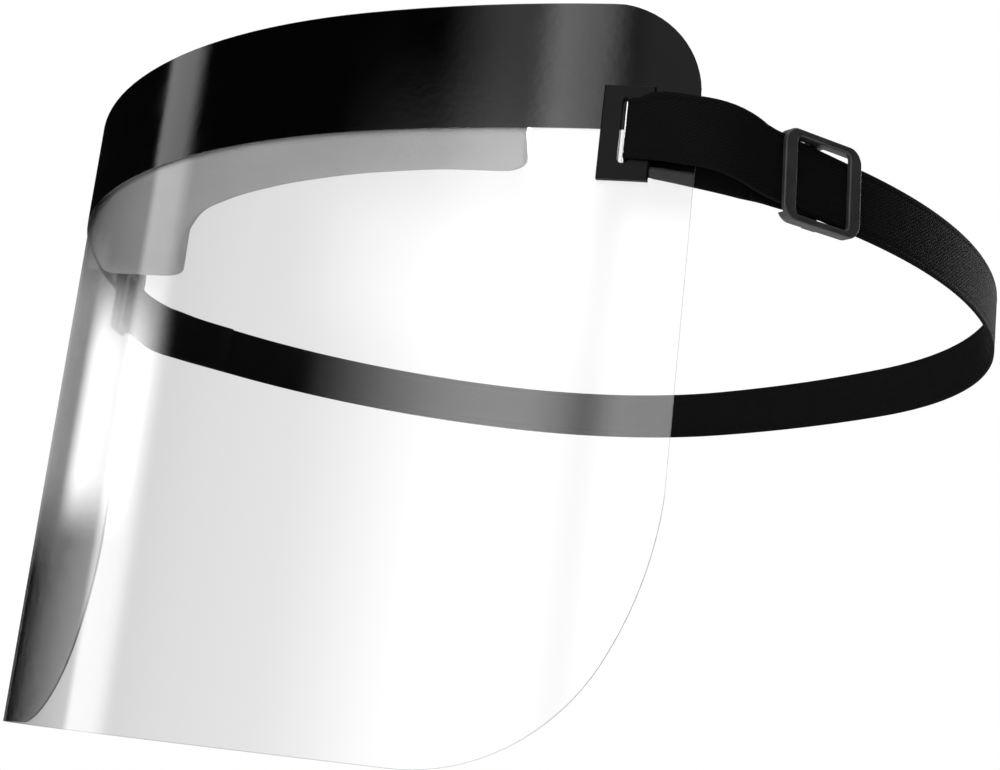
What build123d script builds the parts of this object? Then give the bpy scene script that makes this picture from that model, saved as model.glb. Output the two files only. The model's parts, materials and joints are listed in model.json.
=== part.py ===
from build123d import *
import os
from math import cos, hypot, pi, radians, sin, tan

# Face shield: a clear curved visor hangs from a black brow band, a foam pad rests on the forehead and an
# elastic strap runs from slot to slot round the back of the head, with a sliding adjuster on the left.
#
# Frame, in millimetres: the origin is the middle of the pad's rear face, where it meets the forehead.
# +Y points back through the head, +X to the wearer's left and +Z up.

# ---- driving dimensions ----
# Heights (Z)
PAD_HEIGHT = 33.0
PAD_DROP = 1.2          # how far the pad reaches below the band
BAND_HEIGHT = 35.4
VISOR_HEIGHT = 203.2    # 8 in

# Visor plan: a middle arc, then a flatter arc towards each end; lengths are along the outer face
VISOR_HALF_LENGTH = 185.0
MIDDLE_RADIUS = 185.5
MIDDLE_HALF_LENGTH = 88.7
END_RADIUS = 299.0
TOP_CORNER_RADIUS = 26.0
BOTTOM_SIDE_RADIUS = 103.5      # the bottom corner leaves the rear edge on this wide arc
BOTTOM_SIDE_TURN = 27.5         # degrees turned on the wide arc
BOTTOM_INNER_RADIUS = 56.3      # and reaches the lower edge on this tighter one

# Thicknesses, outwards or inwards from the sheet's outer face
SHEET_THICKNESS = 0.75
TAPE_THICKNESS = 0.1
BAND_THICKNESS = 0.5
BAND_LIP_HEIGHT = 2.0
BAND_LIP_DEPTH = 0.1
BAND_TOP_BEVEL = 0.3
PAD_THICKNESS = 30.5
PAD_LEFT_END = 140.2            # along the visor; the pad sits a little towards the wearer's left
PAD_RIGHT_END = -126.0
PAD_END_SLANT = 9.0             # each end is this much shorter at the forehead
PAD_CORNER_RADIUS = 7.0
PAD_EDGE_RADIUS = 1.5
PAD_TAPE_MARGIN = 3.0

# Strap anchors
SLOT_REAR = 167.8               # rear edge of the slot, along the visor
SLOT_HEIGHT = 18.2
SLOT_ROUNDING = 0.42            # corner radius as a share of the slot's width
PLATE_SLOT_WIDTH = 3.0
SHEET_SLOT_WIDTH = 1.9          # in the sheet and the band
PLATE_WIDTH = 13.5
PLATE_HEIGHT = 25.9
PLATE_DROP = 0.5                # the plates' middle is this much below the slot's
PLATE_MARGIN = 5.4              # plate behind the slot
PLATE_THICKNESS = 1.2
PLATE_BEVEL = 0.4
BACKING_THICKNESS = 0.8
BACKING_INSET = 1.0             # the backing stays this much inside the plate's outline
ANCHOR_RISE = -0.6              # middle of the slot, from the band's lower edge

# Elastic strap
STRAP_WIDTH = 19.05             # 3/4 in
STRAP_THICKNESS = 1.2
STRAP_SIDE_X = 171.1            # half width of the loop, at the straight sides
STRAP_STRAIGHT_END = 132.0      # the straight sides end this far behind the visor's front
STRAP_SIDE_RADIUS = 180.0
STRAP_SIDE_TURN = 38.8          # degrees turned on each side arc
STRAP_CORNER_RADIUS = 132.2
STRAP_CORNER_TURN = 44.4
STRAP_LEG_TILT = 7.4            # the legs fall this steeply from the slots
STRAP_BACK_TILT = 1.05          # and the rest of the loop this gently
STRAP_TILT_CHANGE = 93.0        # behind the visor's front
CLEAR = 0.3                     # gap between webbing and what it runs over
HINGE_CLEAR_RADIUS = 16.5       # the loop swings outside this radius from the hinge axis
FOLD_SHARE = 0.15               # part of the inner leg that stays with the fold
LEG_SHARE = 0.8                 # part of the outer leg's bend that the fold reaches into, before it is parted
GATHERED_HEIGHT = 16.6          # the webbing gathers to this where it passes the slot
GATHERED_REACH = 2.0            # and stays so this far behind the hinge axis
RETURN_END = 125.0              # the sewn right end stops this far behind the visor's front
PART_GAP = 0.01                 # share of a bend left open between two pieces of one webbing

# Slider (three-bar adjuster) on the wearer's left
SLIDER_PLACE = 114.5            # its middle, behind the visor's front
SLIDER_LENGTH = 29.6            # along the strap
SLIDER_HEIGHT = 25.4
SLIDER_CORNER = 4.6
SLIDER_TURN = 3.2               # degrees; its rear end sits this much higher than the strap's run
WINDOW_LENGTH = 20.6
WINDOW_CORNER = 1.6
RAIL_HEIGHT = 2.0
RAIL_DEPTH = 0.9                # how far the rails reach in from the middle of the strap
EAR_HEIGHT = 1.2
EAR_LENGTH = 5.0                # the rails reach in to the centre bar over this length
OUTER_BAR_THICKNESS = 1.3
CENTRE_BAR_LENGTH = 2.4
CENTRE_BAR_THICKNESS = 1.1
SLIDER_EDGE_RADIUS = 0.6
SLIDER_GAP = 0.35               # between the strap and the outer bars
LOOP_GAP = 0.15                 # between the sewn end and the centre bar
LOOP_PLAY = 0.8                 # and along the strap, where the bar leans in the loop
SEWN_SHARE = 0.2                # part of the inner leg that is doubled and sewn

# Sewing
THREAD = 0.35
STITCH_LENGTH = 2.2
STITCH_PITCH = 3.1
BOX_SEAM_LENGTH = 18.0
BOX_SEAM_HEIGHT = 13.0
BAR_TACK_HEIGHT = 15.0
THREAD_CLEAR = 0.05             # the straight stitches clear the curved webbing by this

# ---- worked out ----
FRONT_Y = -(PAD_THICKNESS + SHEET_THICKNESS + TAPE_THICKNESS)
BAND_BOTTOM = -PAD_HEIGHT / 2 + PAD_DROP
STRAP_STRAIGHT_END_Y = FRONT_Y + STRAP_STRAIGHT_END
STRAP_TILT_CHANGE_Y = FRONT_Y + STRAP_TILT_CHANGE
SLIDER_Y = FRONT_Y + SLIDER_PLACE
RETURN_END_Y = FRONT_Y + RETURN_END
BAND_TOP = BAND_BOTTOM + BAND_HEIGHT
VISOR_BOTTOM = BAND_TOP - VISOR_HEIGHT
MIDDLE_TURN = MIDDLE_HALF_LENGTH / MIDDLE_RADIUS
BAND_FACE = TAPE_THICKNESS + BAND_THICKNESS
PLATE_FACE = BAND_FACE + PLATE_THICKNESS
BACKING_FACE = SHEET_THICKNESS + BACKING_THICKNESS
OUTER_LEG = PLATE_FACE + CLEAR + STRAP_THICKNESS / 2
INNER_LEG = -(BACKING_FACE + CLEAR + STRAP_THICKNESS / 2)
FOLD_CORNER = CLEAR + STRAP_THICKNESS / 2        # the webbing's middle turns each slot corner on this radius
PLATE_MIDDLE = SLOT_REAR + PLATE_MARGIN - PLATE_WIDTH / 2
ANCHOR_Z = BAND_BOTTOM + ANCHOR_RISE
OUTER_LEG_END = VISOR_HALF_LENGTH + 1.0     # the outer leg leaves the visor's curve here
BAR_MIDDLE = STRAP_THICKNESS * 1.5 + 2 * LOOP_GAP + CENTRE_BAR_THICKNESS / 2   # inwards from the strap
SLIDER_OUTER = STRAP_THICKNESS / 2 + SLIDER_GAP + OUTER_BAR_THICKNESS
SLIDER_INNER = BAR_MIDDLE + CENTRE_BAR_THICKNESS / 2
HALF_STRAP = STRAP_THICKNESS / 2
TALL = 400.0                    # taller and wider than anything it is cut to
CORNER_SPARE = 12.0             # how far the corner cutters reach past the edges
CUT_DEPTH = 30.0                # and each way from their plane, past the curved sheet
SLOT_CUT_DEPTH = 8.0
OVERCUT = 1.0                   # cutters stand this much past the faces they cut
NEAR = 0.01                     # faces and edges this close to a level lie on it


# ---- plan geometry of the visor ----
def heading(along):
    """Direction of the visor's outer face at a distance from its middle, in radians from +X."""
    reach = abs(along)
    turn = min(reach, MIDDLE_HALF_LENGTH) / MIDDLE_RADIUS
    if reach > MIDDLE_HALF_LENGTH:
        turn += (reach - MIDDLE_HALF_LENGTH) / END_RADIUS
    return turn if along >= 0 else -turn


def on_visor(along, out=0.0, z=0.0):
    """A point at a distance along the visor from its middle and a distance outwards from its face."""
    reach = abs(along)
    turn = heading(reach)
    first = min(turn, MIDDLE_TURN)
    x = MIDDLE_RADIUS * sin(first) + END_RADIUS * (sin(turn) - sin(first))
    y = MIDDLE_RADIUS * (1 - cos(first)) + END_RADIUS * (cos(first) - cos(turn))
    x += out * sin(turn)
    y -= out * cos(turn)
    return Vector(x if along >= 0 else -x, FRONT_Y + y, z)


def tangent_plane(along, z):
    """Plane on the visor: local X runs along it towards the wearer's left, local Y up, local Z outwards."""
    turn = heading(along)
    return Plane(on_visor(along, 0, z), x_dir=(cos(turn), sin(turn), 0), z_dir=(sin(turn), -cos(turn), 0))


def visor_arcs(start, end, out):
    """Edges that follow the visor at one distance outwards, between two places along it."""
    breaks = [at for at in (-MIDDLE_HALF_LENGTH, MIDDLE_HALF_LENGTH) if min(start, end) < at < max(start, end)]
    stops = [start] + sorted(breaks, reverse=start > end) + [end]
    edges = []
    for a, b in zip(stops, stops[1:]):
        edges.append(ThreePointArc(on_visor(a, out), on_visor((a + b) / 2, out), on_visor(b, out)))
    return edges


def strip(start, end, inner, outer, bottom, top):
    """A curved wall that follows the visor between two distances outwards."""
    edges = visor_arcs(start, end, outer)
    edges.append(Line(on_visor(end, outer), on_visor(end, inner)))
    edges += visor_arcs(end, start, inner)
    edges.append(Line(on_visor(start, inner), on_visor(start, outer)))
    wall = extrude(make_face(edges), amount=top - bottom, dir=(0, 0, 1))
    return Pos(0, 0, bottom) * wall


def mirrored(shape):
    """The same piece on the wearer's other side."""
    return mirror(shape, about=Plane.YZ)


# ---- cut-outs shared by the sheet, the band and the anchor plates ----
def bottom_corner_cutter():
    """What is cut from the visor's lower rear corner: outside two tangent arcs."""
    turn = radians(BOTTOM_SIDE_TURN)
    middle = VISOR_HALF_LENGTH - BOTTOM_SIDE_RADIUS * (1 - cos(turn)) - BOTTOM_INNER_RADIUS * cos(turn) / 2
    drop = BOTTOM_SIDE_RADIUS * sin(turn) + BOTTOM_INNER_RADIUS * (1 - sin(turn))
    plane = tangent_plane(middle, VISOR_BOTTOM)
    edge = VISOR_HALF_LENGTH - middle
    start = Vector(edge, drop)
    side_centre = start - Vector(BOTTOM_SIDE_RADIUS, 0)
    joint = side_centre + BOTTOM_SIDE_RADIUS * Vector(cos(turn), -sin(turn))
    inner_centre = joint - BOTTOM_INNER_RADIUS * Vector(cos(turn), -sin(turn))
    half = side_centre + BOTTOM_SIDE_RADIUS * Vector(cos(turn / 2), -sin(turn / 2))
    late = (turn + pi / 2) / 2
    inner_half = inner_centre + BOTTOM_INNER_RADIUS * Vector(cos(late), -sin(late))
    end = inner_centre - Vector(0, BOTTOM_INNER_RADIUS)
    spare = CORNER_SPARE
    outline = [
        ThreePointArc(start, half, joint),
        ThreePointArc(joint, inner_half, end),
        Line(end, end - Vector(0, spare)),
        Line(end - Vector(0, spare), Vector(edge + spare, -spare)),
        Line(Vector(edge + spare, -spare), Vector(edge + spare, drop)),
        Line(Vector(edge + spare, drop), start),
    ]
    face = plane * make_face(outline)
    return extrude(face, amount=CUT_DEPTH, both=True)


def top_corner_cutter():
    """What is cut from the upper rear corner of the visor and the band: outside one arc."""
    middle = VISOR_HALF_LENGTH - TOP_CORNER_RADIUS / 2
    plane = tangent_plane(middle, BAND_TOP)
    edge = VISOR_HALF_LENGTH - middle
    radius = TOP_CORNER_RADIUS
    spare = CORNER_SPARE
    start = Vector(edge, -radius)
    end = Vector(edge - radius, 0)
    half = Vector(edge - radius + radius * cos(pi / 4), -radius + radius * sin(pi / 4))
    outline = [
        ThreePointArc(start, half, end),
        Line(end, end + Vector(0, spare)),
        Line(end + Vector(0, spare), Vector(edge + spare, spare)),
        Line(Vector(edge + spare, spare), Vector(edge + spare, -radius)),
        Line(Vector(edge + spare, -radius), start),
    ]
    return extrude(plane * make_face(outline), amount=CUT_DEPTH, both=True)


def slot_cutter(width):
    """The strap's slot: an upright slot with rounded corners, its rear edge at SLOT_REAR."""
    plane = tangent_plane(SLOT_REAR, ANCHOR_Z)
    outline = Pos(-width / 2, 0) * RectangleRounded(width, SLOT_HEIGHT, width * SLOT_ROUNDING)
    return extrude(plane * outline, amount=SLOT_CUT_DEPTH, both=True)


def cut_both_sides(shape, cutter):
    """Takes the same cut from the wearer's left and right."""
    return shape - cutter - mirrored(cutter)


# ---- pieces that stay with the visor ----
def visor_sheet():
    """The clear sheet, with rounded corners and a strap slot at each end."""
    sheet = strip(-VISOR_HALF_LENGTH, VISOR_HALF_LENGTH, -SHEET_THICKNESS, 0, VISOR_BOTTOM, BAND_TOP)
    sheet = cut_both_sides(sheet, bottom_corner_cutter())
    sheet = cut_both_sides(sheet, top_corner_cutter())
    return cut_both_sides(sheet, slot_cutter(SHEET_SLOT_WIDTH))


def band_profile(start):
    """Upright section of the band, with its sloping lower lip, on the plane where the band starts."""
    turn = heading(start)
    origin = on_visor(start, 0, BAND_BOTTOM)
    plane = Plane(origin, x_dir=(sin(turn), -cos(turn), 0), z_dir=(-cos(turn), -sin(turn), 0))
    points = [
        (TAPE_THICKNESS, 0),
        (BAND_FACE - BAND_LIP_DEPTH, 0),
        (BAND_FACE, BAND_LIP_HEIGHT),
        (BAND_FACE, BAND_HEIGHT - BAND_TOP_BEVEL),
        (BAND_FACE - BAND_TOP_BEVEL, BAND_HEIGHT),
        (TAPE_THICKNESS, BAND_HEIGHT),
    ]
    return plane * make_face(Polyline(*points, close=True))


def brow_band():
    """The glossy band round the top of the visor, over its outer face."""
    path = Wire(visor_arcs(-VISOR_HALF_LENGTH, VISOR_HALF_LENGTH, 0))
    band = sweep(band_profile(-VISOR_HALF_LENGTH), path=path)
    band = cut_both_sides(band, top_corner_cutter())
    return cut_both_sides(band, slot_cutter(SHEET_SLOT_WIDTH))


def band_tape():
    """The adhesive film that holds the band on the sheet, kept a little inside its outline."""
    reach = PLATE_MIDDLE - PLATE_WIDTH
    return strip(-reach, reach, 0, TAPE_THICKNESS, BAND_BOTTOM + BAND_LIP_HEIGHT, BAND_TOP - BAND_LIP_HEIGHT)


def pad_tape():
    """The adhesive film that holds the pad on the sheet's inner face."""
    inner = -SHEET_THICKNESS - TAPE_THICKNESS
    start = PAD_RIGHT_END + PAD_TAPE_MARGIN
    end = PAD_LEFT_END - PAD_TAPE_MARGIN
    low = -PAD_HEIGHT / 2 + PAD_TAPE_MARGIN
    return strip(start, end, inner, -SHEET_THICKNESS, low, -low)


def foam_pad():
    """The forehead pad: a curved block of foam with rounded rear corners and softened rear edges."""
    outer = -SHEET_THICKNESS - TAPE_THICKNESS
    inner = outer - PAD_THICKNESS
    rear_end = PAD_LEFT_END - PAD_END_SLANT
    rear_start = PAD_RIGHT_END + PAD_END_SLANT
    edges = visor_arcs(PAD_RIGHT_END, PAD_LEFT_END, outer) + visor_arcs(rear_end, rear_start, inner)
    edges.append(Line(on_visor(PAD_LEFT_END, outer), on_visor(rear_end, inner)))
    edges.append(Line(on_visor(rear_start, inner), on_visor(PAD_RIGHT_END, outer)))
    pad = Pos(0, 0, -PAD_HEIGHT / 2) * extrude(make_face(edges), amount=PAD_HEIGHT, dir=(0, 0, 1))
    upright = pad.edges().filter_by(Axis.Z)
    corners = [edge for edge in upright if edge_out(edge) < outer - PAD_THICKNESS / 2]
    pad = fillet(corners, PAD_CORNER_RADIUS)
    flat = [edge for edge in pad.edges() if abs(abs(edge.center().Z) - PAD_HEIGHT / 2) < NEAR]
    rear = [edge for edge in flat if edge_out(edge) < outer - PAD_CORNER_RADIUS / 2]
    return fillet(rear, PAD_EDGE_RADIUS)


def edge_out(edge):
    """How far outwards from the visor's face the middle of an edge lies."""
    middle = edge @ 0.5
    x = abs(middle.X)
    inner_centre = Vector(0, FRONT_Y + MIDDLE_RADIUS, 0)
    joint = on_visor(MIDDLE_HALF_LENGTH)
    end_centre = joint + END_RADIUS * Vector(-sin(MIDDLE_TURN), cos(MIDDLE_TURN), 0)
    at_joint = (joint - inner_centre).cross(Vector(x, middle.Y, 0) - inner_centre).Z
    centre, radius = (end_centre, END_RADIUS) if at_joint > 0 else (inner_centre, MIDDLE_RADIUS)
    return hypot(x - centre.X, middle.Y - centre.Y) - radius


def anchor_plate():
    """The left outer plate: it steps over the band's lower edge and frames the slot."""
    front = PLATE_MIDDLE - PLATE_WIDTH / 2
    rear = PLATE_MIDDLE + PLATE_WIDTH / 2
    low = ANCHOR_Z - PLATE_DROP - PLATE_HEIGHT / 2
    high = low + PLATE_HEIGHT
    plate = strip(front, rear, 0, PLATE_FACE, low, high)
    under = BAND_BOTTOM - TAPE_THICKNESS
    plate -= strip(front - OVERCUT, rear + OVERCUT, -OVERCUT, BAND_FACE, under, high + OVERCUT)
    rim = [edge for edge in plate.edges() if edge_out(edge) > PLATE_FACE - PLATE_BEVEL / 2]
    plate = chamfer(rim, PLATE_BEVEL)
    return plate - slot_cutter(PLATE_SLOT_WIDTH)


def anchor_backing():
    """The left inner plate, which clamps the sheet from behind."""
    front = PLATE_MIDDLE - PLATE_WIDTH / 2 + BACKING_INSET
    rear = PLATE_MIDDLE + PLATE_WIDTH / 2 - BACKING_INSET / 2
    low = ANCHOR_Z - PLATE_DROP - PLATE_HEIGHT / 2 + BACKING_INSET
    high = low + PLATE_HEIGHT - 2 * BACKING_INSET
    backing = strip(front, rear, -BACKING_FACE, -SHEET_THICKNESS, low, high)
    return backing - slot_cutter(PLATE_SLOT_WIDTH)


# ---- paths of the strap in plan ----
class Bend:
    """A plan arc with a start, a heading in radians, a radius and a left turn in radians."""

    def __init__(self, start, direction, radius, turn):
        self.start = start
        self.direction = direction
        self.radius = radius
        self.turn = turn

    def point(self, share, out=0.0):
        """A point part of the way round, moved outwards from the arc's centre."""
        angle = self.direction + self.turn * share
        centre = self.start + self.radius * Vector(-sin(self.direction), cos(self.direction))
        return centre + (self.radius + out) * Vector(sin(angle), -cos(angle))

    def edge(self, out, first, last):
        """The stretch of the arc between two shares of it."""
        ends = [self.point(first, out), self.point((first + last) / 2, out), self.point(last, out)]
        return ThreePointArc(*ends)

    def onward(self, radius, turn):
        """The next arc of the path, tangent to this one."""
        return Bend(self.point(1), self.direction + self.turn, radius, turn)


class Run:
    """A straight stretch in plan, from a point in a heading; outwards is to its right."""

    def __init__(self, start, direction, length):
        self.start = start
        self.direction = direction
        self.length = length

    def point(self, share, out=0.0):
        """A point part of the way along, moved outwards."""
        along = self.length * share
        ahead = Vector(cos(self.direction), sin(self.direction))
        side = Vector(sin(self.direction), -cos(self.direction))
        return self.start + along * ahead + out * side

    def edge(self, out, first, last):
        """The stretch between two shares of the run."""
        return Line(self.point(first, out), self.point(last, out))


class AlongVisor:
    """A stretch that follows the visor at one distance outwards."""

    def __init__(self, start, end, out):
        self.start = start
        self.end = end
        self.out = out

    def point(self, share, out=0.0):
        """A point part of the way along, moved outwards."""
        place = on_visor(self.start + (self.end - self.start) * share, self.out + out)
        return Vector(place.X, place.Y)

    def edge(self, out, first, last):
        """The stretch between two shares of it."""
        return ThreePointArc(self.point(first, out), self.point((first + last) / 2, out), self.point(last, out))


def plan(along, out):
    """A plan point on or off the visor, as a flat vector."""
    place = on_visor(along, out)
    return Vector(place.X, place.Y)


HINGE_Y = on_visor(SLOT_REAR - FOLD_CORNER).Y


def fold_turn():
    """The webbing's way round the slot's rear edge: a corner on the inside, straight out, a corner outside."""
    inner = Bend(plan(SLOT_REAR, INNER_LEG), heading(SLOT_REAR) + pi, FOLD_CORNER, pi / 2)
    through = Run(inner.point(1), inner.direction + inner.turn, OUTER_LEG - INNER_LEG - 2 * FOLD_CORNER)
    outer = Bend(through.point(1), through.direction, FOLD_CORNER, pi / 2)
    return wall(inner) + wall(through) + wall(outer)


def outer_along_visor():
    """The outer leg where it lies over the visor's rear margin."""
    return AlongVisor(SLOT_REAR, OUTER_LEG_END, OUTER_LEG)


def outer_bend():
    """The outer leg from the visor's rear edge to the loop's straight side."""
    start = plan(OUTER_LEG_END, OUTER_LEG)
    direction = heading(OUTER_LEG_END)
    return Bend(start, direction, (STRAP_SIDE_X - start.X) / (1 - sin(direction)), pi / 2 - direction)


def inner_bend(end_x):
    """The inner leg, from the inner side of the slot round to a straight run at end_x."""
    start = plan(SLOT_REAR, INNER_LEG)
    direction = heading(SLOT_REAR)
    return Bend(start, direction, (end_x - start.X) / (1 - sin(direction)), pi / 2 - direction)


def side_run(first_y, last_y, inwards=0.0):
    """A stretch of the loop's straight left side."""
    return Run(Vector(STRAP_SIDE_X - inwards, first_y), pi / 2, last_y - first_y)


# ---- webbing solids ----
def wall(path, first=0.0, last=1.0, inner=-HALF_STRAP, outer=HALF_STRAP):
    """A tall wall along part of a path, between two distances from it."""
    ends = [Line(path.point(at, inner), path.point(at, outer)) for at in (first, last)]
    edges = [path.edge(outer, first, last), path.edge(inner, first, last)] + ends
    return Pos(0, 0, -TALL / 2) * extrude(make_face(edges), amount=TALL, dir=(0, 0, 1))


def level(tilt, y, z):
    """The layer that one webbing width fills: level across, and falling to the rear by its tilt."""
    return Pos(0, y, z) * Rot(-tilt, 0, 0) * Box(TALL * 2, TALL * 2, STRAP_WIDTH)


def leg_level():
    """The layer of the legs, which fall from the slots."""
    return level(STRAP_LEG_TILT, HINGE_Y, ANCHOR_Z)


def gathered_level():
    """The legs' layer where the webbing gathers to pass the slot: low there, and full height where it swings."""
    gathered_end = HINGE_Y + GATHERED_REACH
    full_start = HINGE_Y + HINGE_CLEAR_RADIUS
    stations = [(HINGE_Y - HINGE_CLEAR_RADIUS, GATHERED_HEIGHT), (gathered_end, GATHERED_HEIGHT)]
    stations.append((full_start, STRAP_WIDTH))
    upper = [(y, leg_z(y) + height / 2) for y, height in stations]
    lower = [(y, leg_z(y) - height / 2) for y, height in reversed(stations)]
    return extrude(Plane.YZ * make_face(Polyline(*upper, *lower, close=True)), amount=TALL, both=True)


def leg_z(y):
    """Height of the legs' middle line."""
    return ANCHOR_Z - (y - HINGE_Y) * tan(radians(STRAP_LEG_TILT))


def loop_z(y):
    """Height of the loop's middle line, which falls gently to the back."""
    return leg_z(STRAP_TILT_CHANGE_Y) - (y - STRAP_TILT_CHANGE_Y) * tan(radians(STRAP_BACK_TILT))


def loop_level():
    """The layer of the loop behind the legs."""
    return level(STRAP_BACK_TILT, STRAP_TILT_CHANGE_Y, loop_z(STRAP_TILT_CHANGE_Y))


def strap_level():
    """Both layers in one, parted where the tilt changes."""
    rear = Pos(0, STRAP_TILT_CHANGE_Y + TALL / 2, 0) * Box(TALL * 2, TALL, TALL)
    return (leg_level() - rear) + (loop_level() & rear)


def hinge_disc(radius):
    """A wide cylinder on the hinge axis, which parts what stays from what swings."""
    return Pos(0, HINGE_Y, ANCHOR_Z) * Rot(0, 90, 0) * Cylinder(radius, TALL * 2)


def strap_fold(end_x):
    """The webbing where it turns through the left slot, with its first stretch on each side."""
    whole = fold_turn() + wall(outer_along_visor()) + wall(outer_bend(), 0, LEG_SHARE)
    whole = (whole & hinge_disc(HINGE_CLEAR_RADIUS - CLEAR)) + wall(inner_bend(end_x), 0, FOLD_SHARE)
    return whole & gathered_level()


def strap_leg():
    """The left outer leg, from behind the visor's edge to where the loop levels out."""
    bend = outer_bend()
    leg = wall(bend) + wall(side_run(bend.point(1).Y, STRAP_TILT_CHANGE_Y))
    return (leg - hinge_disc(HINGE_CLEAR_RADIUS)) & leg_level()


def strap_side():
    """The straight left side of the loop, which the slider runs on."""
    return wall(side_run(STRAP_TILT_CHANGE_Y, STRAP_STRAIGHT_END_Y)) & loop_level()


def strap_back():
    """The rest of the loop, round the back of the head from the left side to the right."""
    side_turn = radians(STRAP_SIDE_TURN)
    corner_turn = radians(STRAP_CORNER_TURN)
    back_turn = pi / 2 - side_turn - corner_turn
    side = Bend(Vector(STRAP_SIDE_X, STRAP_STRAIGHT_END_Y), pi / 2, STRAP_SIDE_RADIUS, side_turn)
    corner = side.onward(STRAP_CORNER_RADIUS, corner_turn)
    back = corner.onward(corner.point(1).X / sin(back_turn), 2 * back_turn)
    far_corner = back.onward(STRAP_CORNER_RADIUS, corner_turn)
    far_side = far_corner.onward(STRAP_SIDE_RADIUS, side_turn)
    loop = wall(side) + wall(corner) + wall(back) + wall(far_corner) + wall(far_side)
    return loop & loop_level()


def strap_inner_leg():
    """The left inner leg, from the slot to the stretch that is doubled and sewn."""
    bend = inner_bend(STRAP_SIDE_X - BAR_MIDDLE)
    return wall(bend, FOLD_SHARE + PART_GAP, 1 - SEWN_SHARE - PART_GAP) & strap_level()


def strap_return():
    """The right inner leg, shaped here on the left: back from the slot and along the loop's inner face."""
    inwards = STRAP_THICKNESS + LOOP_GAP
    bend = inner_bend(STRAP_SIDE_X - inwards)
    whole = wall(bend, FOLD_SHARE + PART_GAP, 1) + wall(side_run(bend.point(1).Y, RETURN_END_Y, inwards))
    return whole & strap_level()


def strap_end_loop():
    """The sewn end of the webbing: a ring round the slider's centre bar and the doubled stretch before it."""
    bend = inner_bend(STRAP_SIDE_X - BAR_MIDDLE)
    doubled = wall(bend, 1 - SEWN_SHARE, 1, -STRAP_THICKNESS, STRAP_THICKNESS)
    hole_x = CENTRE_BAR_THICKNESS + 2 * LOOP_GAP
    hole_y = CENTRE_BAR_LENGTH + 2 * LOOP_PLAY
    ring = RectangleRounded(hole_x + 2 * STRAP_THICKNESS, hole_y + 2 * STRAP_THICKNESS, STRAP_THICKNESS)
    ring = Pos(STRAP_SIDE_X - BAR_MIDDLE, SLIDER_Y) * ring
    hole = Pos(STRAP_SIDE_X - BAR_MIDDLE, SLIDER_Y) * RectangleRounded(hole_x, hole_y, LOOP_GAP / 2)
    link = Run(bend.point(1), pi / 2, SLIDER_Y - hole_y / 2 - bend.point(1).Y)
    tall_ring = Pos(0, 0, -TALL / 2) * extrude(ring, amount=TALL, dir=(0, 0, 1))
    whole = tall_ring + doubled + wall(link, 0, 1, -STRAP_THICKNESS, STRAP_THICKNESS)
    whole -= Pos(0, 0, -TALL / 2) * extrude(hole, amount=TALL, dir=(0, 0, 1))
    return whole & loop_level()


# ---- the slider ----
def on_slider(shape):
    """Places a piece drawn about the slider's middle: X outwards, Y to the rear and Z up."""
    return Pos(STRAP_SIDE_X, SLIDER_Y, loop_z(SLIDER_Y)) * shape


def slider_frame():
    """The three-bar slider: two outer bars over the strap, two rails, and a centre bar under it on two ears."""
    face = Plane.YZ * (
        RectangleRounded(SLIDER_LENGTH, SLIDER_HEIGHT, SLIDER_CORNER)
        - RectangleRounded(WINDOW_LENGTH, SLIDER_HEIGHT - 2 * RAIL_HEIGHT, WINDOW_CORNER)
    )
    frame = Pos(-RAIL_DEPTH, 0, 0) * extrude(face, amount=RAIL_DEPTH + SLIDER_OUTER, dir=(1, 0, 0))
    rims = [edge for edge in frame.edges() if abs(edge.center().X - SLIDER_OUTER) < NEAR]
    frame = fillet(rims, SLIDER_EDGE_RADIUS)
    under = SLIDER_OUTER - OUTER_BAR_THICKNESS
    between = SLIDER_HEIGHT - 2 * RAIL_HEIGHT
    channel_depth = RAIL_DEPTH + under + OVERCUT
    frame -= Pos(under - channel_depth / 2, 0, 0) * Box(channel_depth, SLIDER_LENGTH + OVERCUT, between)
    ear = Box(SLIDER_INNER, EAR_LENGTH, EAR_HEIGHT)
    for side in (-1, 1):
        frame += Pos(-SLIDER_INNER / 2, 0, side * (between + EAR_HEIGHT) / 2) * ear
    bar = Box(CENTRE_BAR_THICKNESS, CENTRE_BAR_LENGTH, between + EAR_HEIGHT)
    return on_slider(Rot(SLIDER_TURN, 0, 0) * (frame + Pos(-BAR_MIDDLE, 0, 0) * bar))


# ---- sewing ----
def stitch_row(length, upright):
    """Stitches in a row along Y, or along Z if upright, centred on the origin and flat to X."""
    count = int(length / STITCH_PITCH)
    size = (THREAD, THREAD, STITCH_LENGTH) if upright else (THREAD, STITCH_LENGTH, THREAD)
    stitches = []
    for number in range(count):
        place = (number - (count - 1) / 2) * STITCH_PITCH
        stitches.append((Pos(0, 0, place) if upright else Pos(0, place, 0)) * Box(*size))
    return stitches


def box_seam():
    """The box of stitches that closes the return leg, drawn on the outer face of the left side."""
    out = STRAP_THICKNESS / 2 + THREAD / 2
    stitches = []
    for side in (-1, 1):
        for stitch in stitch_row(BOX_SEAM_LENGTH, False):
            stitches.append(Pos(out, 0, side * BOX_SEAM_HEIGHT / 2) * stitch)
        for stitch in stitch_row(BOX_SEAM_HEIGHT, True):
            stitches.append(Pos(out, side * BOX_SEAM_LENGTH / 2, 0) * stitch)
    return on_slider(Rot(-STRAP_BACK_TILT, 0, 0) * Compound(stitches))


def bar_tack():
    """The row of stitches across the doubled stretch, on its inner face."""
    bend = inner_bend(STRAP_SIDE_X - BAR_MIDDLE)
    place = bend.point(1 - SEWN_SHARE / 2, -STRAP_THICKNESS - THREAD / 2 - THREAD_CLEAR)
    row = Compound(stitch_row(BAR_TACK_HEIGHT, True))
    return Pos(place.X, place.Y, loop_z(place.Y)) * row


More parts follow.
